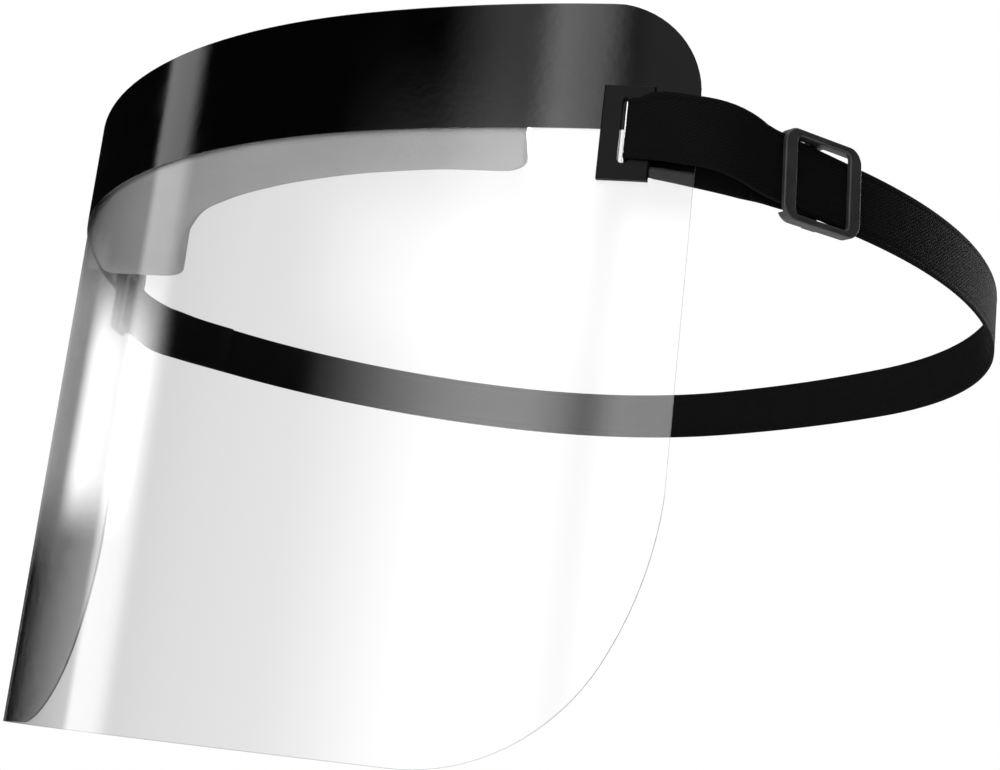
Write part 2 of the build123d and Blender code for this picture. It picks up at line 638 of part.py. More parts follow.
def build():
    """Every node of the face shield, by name."""
    sewn_x = STRAP_SIDE_X - BAR_MIDDLE
    return_x = STRAP_SIDE_X - STRAP_THICKNESS - LOOP_GAP
    return {
        "visor_sheet": visor_sheet(),
        "brow_band": brow_band(),
        "band_tape": band_tape(),
        "pad_tape": pad_tape(),
        "foam_pad": foam_pad(),
        "anchor_plate_left": anchor_plate(),
        "anchor_plate_right": mirrored(anchor_plate()),
        "anchor_backing_left": anchor_backing(),
        "anchor_backing_right": mirrored(anchor_backing()),
        "strap_fold_left": strap_fold(sewn_x),
        "strap_fold_right": mirrored(strap_fold(return_x)),
        "strap_leg_left": strap_leg(),
        "strap_leg_right": mirrored(strap_leg()),
        "strap_side_left": strap_side(),
        "strap_side_right": mirrored(strap_side()),
        "strap_back": strap_back(),
        "strap_inner_leg_left": strap_inner_leg(),
        "strap_return_right": mirrored(strap_return()),
        "strap_end_loop": strap_end_loop(),
        "slider_frame": slider_frame(),
        "box_seam_right": mirrored(box_seam()),
        "bar_tack_left": bar_tack(),
    }


os.makedirs("parts", exist_ok=True)
for node, solid in build().items():
    export_step(solid, f"parts/{node}.step")
print(f"hinge axis at y {HINGE_Y:.2f}, z {ANCHOR_Z:.2f}")
print(f"slider at y {SLIDER_Y:.2f}, z {loop_z(SLIDER_Y):.2f}")
print(f"visor from z {VISOR_BOTTOM:.2f} to {BAND_TOP:.2f}, front at y {FRONT_Y:.2f}")
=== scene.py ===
import json
import bmesh
import bpy
from math import cos, exp, pi, radians, sin, sqrt, tan
from mathutils import Matrix, Vector


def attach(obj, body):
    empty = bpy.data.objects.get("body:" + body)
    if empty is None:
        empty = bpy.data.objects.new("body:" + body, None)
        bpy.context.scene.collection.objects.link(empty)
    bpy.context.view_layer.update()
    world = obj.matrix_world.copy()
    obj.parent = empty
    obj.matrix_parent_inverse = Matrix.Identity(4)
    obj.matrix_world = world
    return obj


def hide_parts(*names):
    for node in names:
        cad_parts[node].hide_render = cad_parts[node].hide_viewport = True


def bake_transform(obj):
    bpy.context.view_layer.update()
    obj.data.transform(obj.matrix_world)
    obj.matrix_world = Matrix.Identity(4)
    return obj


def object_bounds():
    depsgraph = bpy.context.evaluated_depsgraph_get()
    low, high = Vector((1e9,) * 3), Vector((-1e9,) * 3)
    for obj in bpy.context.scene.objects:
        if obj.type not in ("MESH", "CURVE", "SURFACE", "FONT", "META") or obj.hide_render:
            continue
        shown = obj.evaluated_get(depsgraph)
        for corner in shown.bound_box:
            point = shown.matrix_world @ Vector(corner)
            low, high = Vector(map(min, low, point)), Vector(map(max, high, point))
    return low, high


# Face shield: looks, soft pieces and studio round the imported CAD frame: +Y back through the head, +X to the
# wearer's left, +Z up. Shapes are in millimetres until a mesh is made. Textures, the floor, the lights and
# the camera are in metres.
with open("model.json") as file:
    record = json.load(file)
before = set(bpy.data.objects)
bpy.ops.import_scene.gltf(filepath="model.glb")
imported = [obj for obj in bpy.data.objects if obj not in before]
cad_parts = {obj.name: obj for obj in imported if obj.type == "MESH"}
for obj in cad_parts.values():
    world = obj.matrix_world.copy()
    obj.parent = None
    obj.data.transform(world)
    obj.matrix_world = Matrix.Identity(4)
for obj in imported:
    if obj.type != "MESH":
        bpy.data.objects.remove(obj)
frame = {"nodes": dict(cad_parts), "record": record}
cad_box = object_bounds()
nodes = frame["nodes"]
MM = 0.001

# ---- dimensions ----
PAD_THICKNESS = 30.5            # of the CAD pad, all along
PAD_HALF_HEIGHT = 16.5
PAD_ENDS = (-128.5, 139.6)      # along the visor
PAD_END_SLANT = 8.0
PAD_CORNER = 7.0                # plan radius of the rear corners
PAD_EDGE = 2.2                  # softened upper and lower edges
PAD_FRONT_EDGE = 1.0
PAD_FRONT_CORNER = 6.0          # plan radius of the right end's front corner
PAD_MIDDLE_THICKNESS = 28.0     # of the soft pad, which is thinner in the middle than towards its ends
PAD_RIGHT_SWELL = 3.4           # added towards the right end, where it is thicker than the CAD pad,
RIGHT_SWELL_START = -10.0       # from here along the visor
RIGHT_SWELL_RUN = 45.0          # and over this distance
PAD_LEFT_SWELL = 2.8
LEFT_SWELL_START = 100.0
LEFT_SWELL_RUN = 35.0
PAD_CREASE = (-65.0, 1.1, 2.6)  # a small crease: its place along the visor, its depth and its half width
PAD_WAVE = 0.35                 # unevenness of the rear face
PAD_CROWN = 0.25                # dip of the upper and lower faces towards their front and rear
SHEET = 0.75
TAPE = 0.1
FRONT_Y = -(PAD_THICKNESS + SHEET + TAPE)
MIDDLE_RADIUS = 185.5
MIDDLE_HALF_LENGTH = 88.7
END_RADIUS = 299.0
SLOT_REAR = 167.8
OUTER_LEG = 2.7                 # middle of the webbing outside the sheet's outer face
INNER_LEG = -2.45
FOLD_CORNER = 0.9               # the webbing turns each corner of the slot on this radius
OUTER_LEG_END = 186.0
ANCHOR_Z = -15.9
STRAP_WIDTH = 19.05
STRAP_THICKNESS = 1.2
GATHERED = 0.87                 # share of its width that the webbing keeps in the slot
GATHER_LENGTH = 5.0             # and the distance over which it spreads out again
SIDE_X = 171.1
STRAIGHT_END_Y = FRONT_Y + 132.0
TILT_CHANGE_Y = FRONT_Y + 93.0
SLIDER_Y = FRONT_Y + 114.5
RETURN_END_Y = FRONT_Y + 125.0   # the sewn right end
LEG_TILT = radians(7.4)
LOOP_TILT = radians(1.05)
SIDE_ARC = (180.0, radians(38.8))
CORNER_ARC = (132.2, radians(44.4))
BAR_MIDDLE = 2.65               # centre bar, inwards from the strap
BAR_HALF = 1.0                  # half its thickness
RETURN_INWARDS = 1.35
OUTER_EXIT = -1.2               # where each leg leaves the slot, behind the hinge
INNER_EXIT = 2.4
OUTER_LIFT = 1.8                # the outer leg stands this much higher than its run where it leaves the slot
INNER_DIP = -1.0                # and the inner leg hangs this much lower
LIFT_RISE = 6.0                 # both shifts grow over this distance behind the slot,
LIFT_HOLD = 13.0                # last until here
LIFT_FADE = 20.0                # and fade over this distance
TILT_SOFTNESS = 14.0            # half the distance over which the strap's tilt changes
INNER_SPLIT = 0.62              # the left inner leg is parted here, inside what swings with the loop
SEWN_BEND = 0.35                # share of the bend's rest that the sewn end follows before it nears the bar
SEWN_TURN = 1.2                 # it turns round the bar from this far before its middle
SEWN_STOP = 4.0                 # taken off the run from the bend to the bar
SEWN_RETURN = 0.75              # the returned layer covers this share of what is left
SEWN_PRESS = 0.52               # and is pressed this far into the first layer
FLOOR_DROP = 0.45
FLOOR_HALF = 2.0
LIGHTS_AIM = (0, 0.05, -0.06)
CAMERA_PLACE = (0.468616, -0.234081, -0.179666)
CAMERA_AZIMUTH = 53.368
CAMERA_ELEVATION = -12.491
CAMERA_ROLL = 0.11515
CAMERA_LENS = 61.2
CAMERA_SHIFT = (-0.0032, 0.0036)


# ---- plan of the visor ----
def heading(along):
    """Direction of the visor's face at a distance along it from the middle, in radians from +X."""
    reach = abs(along)
    turn = min(reach, MIDDLE_HALF_LENGTH) / MIDDLE_RADIUS
    turn += max(0.0, reach - MIDDLE_HALF_LENGTH) / END_RADIUS
    return turn if along >= 0 else -turn


def on_visor(along, out):
    """Plan point at a distance along the visor and a distance outwards from its face."""
    turn = heading(abs(along))
    first = min(turn, MIDDLE_HALF_LENGTH / MIDDLE_RADIUS)
    x = MIDDLE_RADIUS * sin(first) + END_RADIUS * (sin(turn) - sin(first)) + out * sin(turn)
    y = MIDDLE_RADIUS * (1 - cos(first)) + END_RADIUS * (cos(first) - cos(turn)) - out * cos(turn)
    return (x if along >= 0 else -x, FRONT_Y + y)


HINGE_Y = on_visor(SLOT_REAR - FOLD_CORNER, 0)[1]


# ---- meshes ----
def make_piece(name, points, faces, material, uvs=None):
    """A smooth mesh object from points in millimetres, with one material."""
    mesh = bpy.data.meshes.new(name)
    mesh.from_pydata([Vector(point) * MM for point in points], [], faces)
    if uvs:
        layer = mesh.uv_layers.new(name="UVMap")
        for loop in mesh.loops:
            layer.data[loop.index].uv = uvs[loop.vertex_index]
    for polygon in mesh.polygons:
        polygon.use_smooth = True
    mesh.validate()
    mesh.materials.append(material)
    piece = bpy.data.objects.new(name, mesh)
    bpy.context.scene.collection.objects.link(piece)
    return piece


def smooth_step(value):
    """0 below 0, 1 above 1 and a smooth rise between."""
    value = min(1.0, max(0.0, value))
    return value * value * (3 - 2 * value)


# ---- node materials ----
class Nodes:
    """A new material and short calls that add its nodes."""

    def __init__(self, name):
        self.material = bpy.data.materials.new(name)
        self.material.use_nodes = True
        self.tree = self.material.node_tree
        self.shader = self.tree.nodes["Principled BSDF"]
        self.output = self.tree.nodes["Material Output"]

    def add(self, kind, **settings):
        """A node of one kind; settings are its properties."""
        node = self.tree.nodes.new(kind)
        for key, value in settings.items():
            setattr(node, key, value)
        return node

    def join(self, source, target):
        """Links an output to an input, or sets the input to a plain value."""
        if isinstance(source, bpy.types.NodeSocket):
            self.tree.links.new(source, target)
        else:
            target.default_value = source

    def place(self, uv=False):
        """Where a texture lies: the mesh's own metres, or its UV map."""
        return self.add("ShaderNodeTexCoord").outputs["UV" if uv else "Object"]

    def scaled(self, vector, scale):
        """A vector times three numbers."""
        node = self.add("ShaderNodeVectorMath", operation="MULTIPLY")
        self.join(vector, node.inputs[0])
        node.inputs[1].default_value = scale
        return node.outputs[0]

    def math(self, operation, first, second=0.0, clamp=False):
        """One sum on two numbers or sockets."""
        node = self.add("ShaderNodeMath", operation=operation, use_clamp=clamp)
        self.join(first, node.inputs[0])
        self.join(second, node.inputs[1])
        return node.outputs[0]

    def noise(self, vector, scale, detail=2.0, roughness=0.5):
        """Soft random variation from 0 to 1."""
        node = self.add("ShaderNodeTexNoise")
        self.join(vector, node.inputs["Vector"])
        node.inputs["Scale"].default_value = scale
        node.inputs["Detail"].default_value = detail
        node.inputs["Roughness"].default_value = roughness
        return node.outputs["Fac"]

    def spread(self, value, low, high, start=0.0, end=1.0):
        """Maps a range of values to another, clamped."""
        node = self.add("ShaderNodeMapRange")
        self.join(value, node.inputs["Value"])
        node.inputs["From Min"].default_value = start
        node.inputs["From Max"].default_value = end
        node.inputs["To Min"].default_value = low
        node.inputs["To Max"].default_value = high
        return node.outputs["Result"]

    def blend(self, factor, first, second):
        """A colour between two."""
        node = self.add("ShaderNodeMix", data_type="RGBA")
        self.join(factor, node.inputs["Factor"])
        self.join(first, node.inputs["A"])
        self.join(second, node.inputs["B"])
        return node.outputs["Result"]

    def bump(self, height, strength, distance, normal=None):
        """A normal that follows a height; distance is in metres."""
        node = self.add("ShaderNodeBump")
        node.inputs["Strength"].default_value = strength
        node.inputs["Distance"].default_value = distance
        self.join(height, node.inputs["Height"])
        if normal:
            self.join(normal, node.inputs["Normal"])
        return node.outputs["Normal"]

    def surface(self, colour, roughness, normal=None, **values):
        """Sets the shader: colour, roughness and normal may be nodes, the rest are plain values."""
        self.join(colour, self.shader.inputs["Base Color"])
        self.join(roughness, self.shader.inputs["Roughness"])
        if normal:
            self.join(normal, self.shader.inputs["Normal"])
        for key, value in values.items():
            self.shader.inputs[key.replace("_", " ")].default_value = value
        return self.material


def grey(value):
    """A plain grey."""
    return (value, value, value, 1.0)


def clear_sheet_material():
    """Clear polyester: it mirrors more at a slant and is a little smoky. Its cut edges and a thin line along
    them are painted grey: painted shade for the dark line that light mirrored inside the sheet gives its
    edges.
    """
    m = Nodes("clear_sheet")
    place = m.place()
    slow = m.noise(m.scaled(place, (1.0, 1.0, 0.35)), 14.0, 1.0)
    scuff = m.noise(place, 260.0, 3.0)
    normal = m.bump(slow, 0.03, 0.002, visor_normal(m))
    slant = m.add("ShaderNodeLayerWeight")
    slant.inputs["Blend"].default_value = 0.5
    m.join(normal, slant.inputs["Normal"])
    steep = m.math("POWER", slant.outputs["Facing"], 5.0)
    mirrored = m.math("ADD", m.math("MULTIPLY", steep, 0.95), 0.05)
    clear = m.add("ShaderNodeBsdfTransparent")
    tint = m.blend(slant.outputs["Facing"], grey(0.965), grey(0.765))
    # Near the cut edges the clear tint turns grey: painted shade for the sheet's dark edge line.
    m.join(m.blend(near_edge(m, 0.0006), tint, grey(0.62)), clear.inputs["Color"])
    m.surface(grey(0.98), m.spread(scuff, 0.03, 0.07), normal, Metallic=1.0)
    sheet = m.add("ShaderNodeMixShader")
    m.join(mirrored, sheet.inputs["Fac"])
    m.join(clear.outputs[0], sheet.inputs[1])
    m.join(m.shader.outputs[0], sheet.inputs[2])
    # The cut edges' faces are painted grey: painted shade for the light mirrored inside the sheet.
    edge = m.add("ShaderNodeBsdfPrincipled")
    m.join(m.blend(scuff, grey(0.30), grey(0.44)), edge.inputs["Base Color"])
    edge.inputs["Roughness"].default_value = 0.35
    whole = m.add("ShaderNodeMixShader")
    m.join(edge_mask(m), whole.inputs["Fac"])
    m.join(sheet.outputs[0], whole.inputs[1])
    m.join(edge.outputs[0], whole.inputs[2])
    m.join(whole.outputs[0], m.output.inputs["Surface"])
    return m.material


def edge_mask(m):
    """1 on a curved sheet's cut edges, which don't look away from the visor's axis, and 0 on its faces."""
    shape = m.add("ShaderNodeNewGeometry")
    away = m.add("ShaderNodeVectorMath", operation="SUBTRACT")
    m.join(shape.outputs["Position"], away.inputs[0])
    away.inputs[1].default_value = (0, (FRONT_Y + MIDDLE_RADIUS) * MM, 0)
    level = m.scaled(away.outputs[0], (1, 1, 0))
    unit = m.add("ShaderNodeVectorMath", operation="NORMALIZE")
    m.join(level, unit.inputs[0])
    facing = m.add("ShaderNodeVectorMath", operation="DOT_PRODUCT")
    m.join(unit.outputs[0], facing.inputs[0])
    m.join(shape.outputs["True Normal"], facing.inputs[1])
    return m.math("LESS_THAN", m.math("ABSOLUTE", facing.outputs["Value"]), 0.7)


def visor_normal(m):
    """The true direction of the visor's curved faces, from its plan arcs, and the mesh's own on cut edges."""
    shape = m.add("ShaderNodeNewGeometry")
    axes = m.add("ShaderNodeSeparateXYZ")
    m.join(shape.outputs["Position"], axes.inputs[0])
    turn = MIDDLE_HALF_LENGTH / MIDDLE_RADIUS
    middle_y = (FRONT_Y + MIDDLE_RADIUS) * MM
    end_x = (MIDDLE_RADIUS - END_RADIUS) * sin(turn) * MM
    end_y = middle_y + (END_RADIUS - MIDDLE_RADIUS) * cos(turn) * MM
    side = m.math("SIGN", axes.outputs["X"])
    reach = m.math("ABSOLUTE", axes.outputs["X"])
    drop = m.math("SUBTRACT", middle_y, axes.outputs["Y"])
    beyond = m.math("GREATER_THAN", m.math("ARCTAN2", reach, drop), turn)
    x = m.math("MULTIPLY", m.math("SUBTRACT", reach, m.math("MULTIPLY", beyond, end_x)), side)
    centre_y = m.math("ADD", middle_y, m.math("MULTIPLY", beyond, end_y - middle_y))
    y = m.math("SUBTRACT", axes.outputs["Y"], centre_y)
    level = m.add("ShaderNodeCombineXYZ")
    m.join(x, level.inputs["X"])
    m.join(y, level.inputs["Y"])
    unit = m.add("ShaderNodeVectorMath", operation="NORMALIZE")
    m.join(level.outputs[0], unit.inputs[0])
    facing = m.add("ShaderNodeVectorMath", operation="DOT_PRODUCT")
    m.join(unit.outputs[0], facing.inputs[0])
    m.join(shape.outputs["Normal"], facing.inputs[1])
    turned = m.add("ShaderNodeVectorMath", operation="SCALE")
    m.join(unit.outputs[0], turned.inputs[0])
    m.join(m.math("SIGN", facing.outputs["Value"]), turned.inputs["Scale"])
    choose = m.add("ShaderNodeMix", data_type="VECTOR")
    m.join(m.math("LESS_THAN", m.math("ABSOLUTE", facing.outputs["Value"]), 0.98), choose.inputs["Factor"])
    m.join(turned.outputs[0], choose.inputs[4])
    m.join(shape.outputs["Normal"], choose.inputs[5])
    return choose.outputs[1]


def near_edge(m, reach):
    """1 on a line along every cut edge, where a rounded edge would turn the surface, and 0 elsewhere."""
    shape = m.add("ShaderNodeNewGeometry")
    rounded = m.add("ShaderNodeBevel", samples=6)
    rounded.inputs["Radius"].default_value = reach
    facing = m.add("ShaderNodeVectorMath", operation="DOT_PRODUCT")
    m.join(rounded.outputs[0], facing.inputs[0])
    m.join(shape.outputs["Normal"], facing.inputs[1])
    return m.spread(facing.outputs["Value"], 1.0, 0.0, 0.8, 0.97)


def gloss_band_material():
    """Glossy black plastic with a faint orange peel and fine dust-like variation in its shine."""
    m = Nodes("gloss_band")
    place = m.place()
    peel = m.noise(place, 420.0, 2.0)
    slow = m.noise(m.scaled(place, (1.0, 1.0, 0.5)), 22.0, 2.0)
    rough = m.spread(m.noise(place, 90.0, 4.0), 0.04, 0.09, 0.3, 0.7)
    normal = m.bump(slow, 0.06, 0.002, m.bump(peel, 0.025, 0.0004, visor_normal(m)))
    colour = m.blend(slow, grey(0.0003), grey(0.0008))
    return m.surface(colour, rough, normal)


def foam_material():
    """Soft grey foam with fine open cells and a slightly uneven colour."""
    m = Nodes("foam")
    place = m.place()
    cells = m.add("ShaderNodeTexVoronoi")
    m.join(place, cells.inputs["Vector"])
    cells.inputs["Scale"].default_value = 1500.0
    slow = m.noise(place, 45.0, 3.0)
    fine = m.noise(place, 900.0, 2.0)
    tone = m.blend(m.spread(slow, 0.0, 1.0, 0.3, 0.7), grey(0.32), grey(0.36))
    colour = m.blend(m.spread(cells.outputs["Distance"], 0.0, 0.22, 0.2, 0.9), tone, grey(0.48))
    height = m.math("ADD", m.math("MULTIPLY", cells.outputs["Distance"], -0.7), fine)
    normal = m.bump(slow, 0.25, 0.0012, m.bump(height, 0.35, 0.0003))
    return m.surface(colour, m.spread(fine, 0.78, 0.95), normal, Sheen_Weight=0.15, Sheen_Roughness=0.6,
                     Coat_Weight=0.5, Coat_Roughness=0.17)


def film_material():
    """Clear adhesive film, faintly milky with small bubbles."""
    m = Nodes("adhesive_film")
    spots = m.noise(m.place(), 520.0, 2.0)
    return m.surface(m.blend(spots, grey(0.55), grey(0.75)), m.spread(spots, 0.25, 0.5), Alpha=0.35)


def moulded_material(name, dark, light, rough, grain, specular):
    """Moulded nylon: fine spark-eroded grain and soft variation in tone and shine."""
    m = Nodes(name)
    place = m.place()
    fine = m.noise(place, grain, 3.0, 0.6)
    slow = m.noise(place, 160.0, 3.0)
    pits = m.add("ShaderNodeTexVoronoi")
    m.join(place, pits.inputs["Vector"])
    pits.inputs["Scale"].default_value = grain * 1.4
    height = m.math("ADD", fine, m.math("MULTIPLY", pits.outputs["Distance"], 0.5))
    worn = m.blend(m.spread(slow, 0.0, 1.0, 0.3, 0.75), grey(dark), grey(light))
    uneven = m.math("ADD", slow, m.math("MULTIPLY", fine, 0.5))
    roughness = m.spread(uneven, rough - 0.08, rough + 0.1, 0.4, 1.1)
    return m.surface(worn, roughness, m.bump(height, 0.35, 0.00012), Specular_IOR_Level=specular)


def webbing_material():
    """Knitted elastic: cords along the strap, a rib for each weft pass across it, painted shade in the
    weave's hollows, and a satin nap.
    """
    m = Nodes("elastic_webbing")
    place = m.place(uv=True)
    axes = m.add("ShaderNodeSeparateXYZ")
    m.join(place, axes.inputs[0])
    along, across = axes.outputs["X"], axes.outputs["Y"]
    rib = m.math("SINE", m.math("MULTIPLY", along, 2 * pi / 0.00085))
    cord = m.math("SINE", m.math("MULTIPLY", across, 2 * pi / 0.0011))
    shift = m.math("MULTIPLY", m.math("SIGN", cord), 0.5 * pi)
    knit = m.math("SINE", m.math("ADD", m.math("MULTIPLY", along, 2 * pi / 0.0017), shift))
    weave = m.math("ADD", m.math("MULTIPLY", rib, 0.35), m.math("ADD", m.math("ABSOLUTE", cord), knit))
    fuzz = m.noise(m.place(), 1800.0, 3.0)
    slow = m.noise(m.place(), 60.0, 2.0)
    height = m.math("ADD", m.math("MULTIPLY", weave, 0.5), m.math("MULTIPLY", fuzz, 0.5))
    # Raised weave is lighter and its low parts darker: painted shade in the weave's hollows, over the yarn's
    # own uneven tone.
    raised_lit = m.spread(weave, 0.0, 1.0, -1.0, 2.0)
    colour = m.blend(raised_lit, grey(0.0010), m.blend(slow, grey(0.0028), grey(0.0044)))
    normal = m.bump(height, 0.45, 0.00016)
    rough = m.spread(fuzz, 0.6, 0.8)
    return m.surface(colour, rough, normal, Sheen_Weight=0.001, Sheen_Roughness=0.4, Specular_IOR_Level=0.045)


def thread_material():
    """Black polyester thread, with a fine twist."""
    m = Nodes("thread")
    twist = m.noise(m.place(), 5200.0, 1.0)
    colour = m.blend(twist, grey(0.006), grey(0.02))
    return m.surface(colour, m.spread(twist, 0.35, 0.6), m.bump(twist, 0.5, 0.00008))


MATERIALS = {
    "clear_sheet": clear_sheet_material(),
    "gloss_band": gloss_band_material(),
    "foam": foam_material(),
    "adhesive_film": film_material(),
    "moulded_black": moulded_material("moulded_black", 0.0012, 0.0026, 0.42, 2600.0, 0.13),
    "slider_black": moulded_material("slider_black", 0.014, 0.024, 0.40, 2200.0, 0.45),
    "elastic_webbing": webbing_material(),
    "thread": thread_material(),
}


def dress_cad_nodes():
    """Every CAD node that stays gets its slot's node material."""
    for part in frame["record"]["subparts"]:
        piece = nodes[part["node"]]
        for place in piece.material_slots:
            place.material = MATERIALS[part["material_slot"]]


# ---- forehead pad ----
def pad_levels():
    """Heights of the pad's rings and how far each is drawn in, from the bottom face to the top."""
    rise = [PAD_HALF_HEIGHT - PAD_EDGE * (1 - sin(radians(angle))) for angle in (0, 20, 40, 60, 75, 90)]
    inset = [PAD_EDGE * (1 - cos(radians(angle))) for angle in (0, 20, 40, 60, 75, 90)]
    upper = [(7.0, 0.0)] + list(zip(rise, inset))
    return [(-z, e) for z, e in reversed(upper)] + [(0.0, 0.0)] + upper


def pad_depths():
    """Distances behind the pad's front face at which its end is drawn, and how far it is drawn in there."""
    straight = [(depth, 0.0) for depth in (0.0, 0.8, 2.0, 3.6, 6.0, 10.0, 16.5, PAD_THICKNESS - PAD_CORNER)]
    angles = [radians(a) for a in (15, 30, 45, 60, 75, 90)]
    start = PAD_THICKNESS - PAD_CORNER
    turned = [(start + PAD_CORNER * sin(a), PAD_CORNER * (1 - cos(a))) for a in angles]
    return straight + turned


def pad_thickness(along):
    """How thick the foam is at a place along the visor."""
    right = smooth_step((RIGHT_SWELL_START - along) / RIGHT_SWELL_RUN)
    left = smooth_step((along - LEFT_SWELL_START) / LEFT_SWELL_RUN)
    return PAD_MIDDLE_THICKNESS + (PAD_RIGHT_SWELL * right + PAD_LEFT_SWELL * left)


def pad_point(side, depth, draw_in, z, inset):
    """A point of the pad: side runs from 0 at its right end to 1 at its left."""
    share = depth / PAD_THICKNESS
    reach = PAD_END_SLANT * share + draw_in + inset * (0.3 + 0.7 * share)
    corner = max(0.0, 1 - depth / PAD_FRONT_CORNER)
    start = PAD_ENDS[0] + reach + PAD_FRONT_CORNER * (1 - sqrt(1 - corner * corner))
    end = PAD_ENDS[1] - reach
    along = start + (end - start) * side
    front_inset = PAD_FRONT_EDGE * inset / PAD_EDGE
    back = front_inset + (pad_thickness(along) - front_inset - inset) * share
    give = PAD_WAVE * sin(along / 9.0) * sin(along / 23.0 + 1.0)
    place, fold_depth, half_width = PAD_CREASE
    crease = fold_depth * exp(-((along - place) / half_width) ** 2) * smooth_step(0.5 - z / PAD_HALF_HEIGHT)
    back -= max(0.0, share - 0.5) * (abs(give) + 2 * crease)
    x, y = on_visor(along, -SHEET - TAPE - back)
    crown = 0.0 if inset < PAD_EDGE else -PAD_CROWN * (1 - sin(pi * share))
    return (x, y, z + (crown if z > 0 else -crown))


def pad_sides():
    """Shares of the length at which the pad is cut, closer together at its rounded ends."""
    close = [0.0, 0.008, 0.018, 0.032]
    count = 120
    middle = [0.05 + 0.9 * number / count for number in range(count + 1)]
    return close + middle + [1 - share for share in reversed(close)]


def forehead_pad():
    """The foam pad: a curved block, soft at its edges, with rounded rear corners, closed all round."""
    levels = pad_levels()
    depths = pad_depths()
    sides = pad_sides()
    index = {}
    points = []

    def spot(i, j, k):
        """The number of one surface point, made when first asked for."""
        if (i, j, k) not in index:
            depth, draw_in = depths[j]
            z, inset = levels[k]
            index[(i, j, k)] = len(points)
            points.append(pad_point(sides[i], depth, draw_in, z, inset))
        return index[(i, j, k)]

    last_i, last_j, last_k = len(sides) - 1, len(depths) - 1, len(levels) - 1
    faces = []
    for i in range(last_i):
        for j in range(last_j):
            faces.append((spot(i, j, 0), spot(i, j + 1, 0), spot(i + 1, j + 1, 0), spot(i + 1, j, 0)))
            faces.append((spot(i, j, last_k), spot(i + 1, j, last_k),
                          spot(i + 1, j + 1, last_k), spot(i, j + 1, last_k)))
    for i in range(last_i):
        for k in range(last_k):
            faces.append((spot(i, 0, k), spot(i + 1, 0, k), spot(i + 1, 0, k + 1), spot(i, 0, k + 1)))
            faces.append((spot(i, last_j, k), spot(i, last_j, k + 1),
                          spot(i + 1, last_j, k + 1), spot(i + 1, last_j, k)))
    for j in range(last_j):
        for k in range(last_k):
            faces.append((spot(0, j, k), spot(0, j, k + 1), spot(0, j + 1, k + 1), spot(0, j + 1, k)))
            faces.append((spot(last_i, j, k), spot(last_i, j + 1, k),
                          spot(last_i, j + 1, k + 1), spot(last_i, j, k + 1)))
    pad = make_piece("pad_foam", points, faces, MATERIALS["foam"])
    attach(pad, "shield")
    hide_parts("foam_pad")


# ---- webbing ----
class Path:
    """A plan path that is walked in arcs and straights, kept as (x, y, heading, side) samples. Side is how
    far the webbing is lifted near the slot: above 0 on the outer leg and below 0 on the inner one."""

    def __init__(self, x, y, direction, side):
        self.samples = [(x, y, direction, side)]
        self.side = side

    def straight(self, length, step=6.0):
        """Goes straight on."""
        count = max(1, round(length / step))
        x, y, direction, _ = self.samples[-1]
        for number in range(1, count + 1):
            reach = length * number / count
            self.samples.append((x + reach * cos(direction),
                                 y + reach * sin(direction), direction, self.side))

    def arc(self, radius, turn, step=4.0):
        """Turns left, or right where turn is negative."""
        count = max(2, round(abs(turn) * radius / step))
        x, y, direction, _ = self.samples[-1]
        bend = radius if turn > 0 else -radius
        for number in range(1, count + 1):
            angle = direction + turn * number / count
            self.samples.append((x + bend * (sin(angle) - sin(direction)),
                                 y - bend * (cos(angle) - cos(direction)), angle, self.side))


def behind_slot(y, side):
    """How far behind the slot one y lies, on the outer leg or on the inner one."""
    return y - HINGE_Y - (OUTER_EXIT if side > 0 else INNER_EXIT)


def strap_gather(y, side):
    """Share of its width that the webbing has at one y: gathered in the slot, and full behind it."""
    return GATHERED + (1 - GATHERED) * smooth_step(behind_slot(y, side) / GATHER_LENGTH)


def strap_height(y, side):
    """Height of the strap's middle line: steep from the slots, then gentle, with a soft change between.
    Near the slot the outer leg stands higher and the inner one lower, by side."""
    change = ANCHOR_Z - (TILT_CHANGE_Y - HINGE_Y) * tan(LEG_TILT)
    steep = change - (y - TILT_CHANGE_Y) * tan(LEG_TILT)
    gentle = change - (y - TILT_CHANGE_Y) * tan(LOOP_TILT)
    share = min(1.0, max(0.0, (y - TILT_CHANGE_Y) / (2 * TILT_SOFTNESS) + 0.5))
    rounding = TILT_SOFTNESS * (tan(LEG_TILT) - tan(LOOP_TILT)) * share * (1 - share) * 0.5
    near = behind_slot(y, side)
    lift = side * smooth_step(near / LIFT_RISE) * (1 - smooth_step((near - LIFT_HOLD) / LIFT_FADE))
    return (steep if y < TILT_CHANGE_Y else gentle) + rounding + lift


def inner_bend(end_x):
    """Radius and turn of the inner leg, from the inner side of the slot to a straight run at end_x."""
    x = on_visor(SLOT_REAR, INNER_LEG)[0]
    direction = heading(SLOT_REAR)
    return (end_x - x) / (1 - sin(direction)), pi / 2 - direction


def bend_point(end_x, share):
    """A point and heading part of the way round the inner leg's bend."""
    radius, turn = inner_bend(end_x)
    start = heading(SLOT_REAR)
    x, y = on_visor(SLOT_REAR, INNER_LEG)
    angle = start + turn * share
    return x + radius * (sin(angle) - sin(start)), y - radius * (cos(angle) - cos(start)), angle


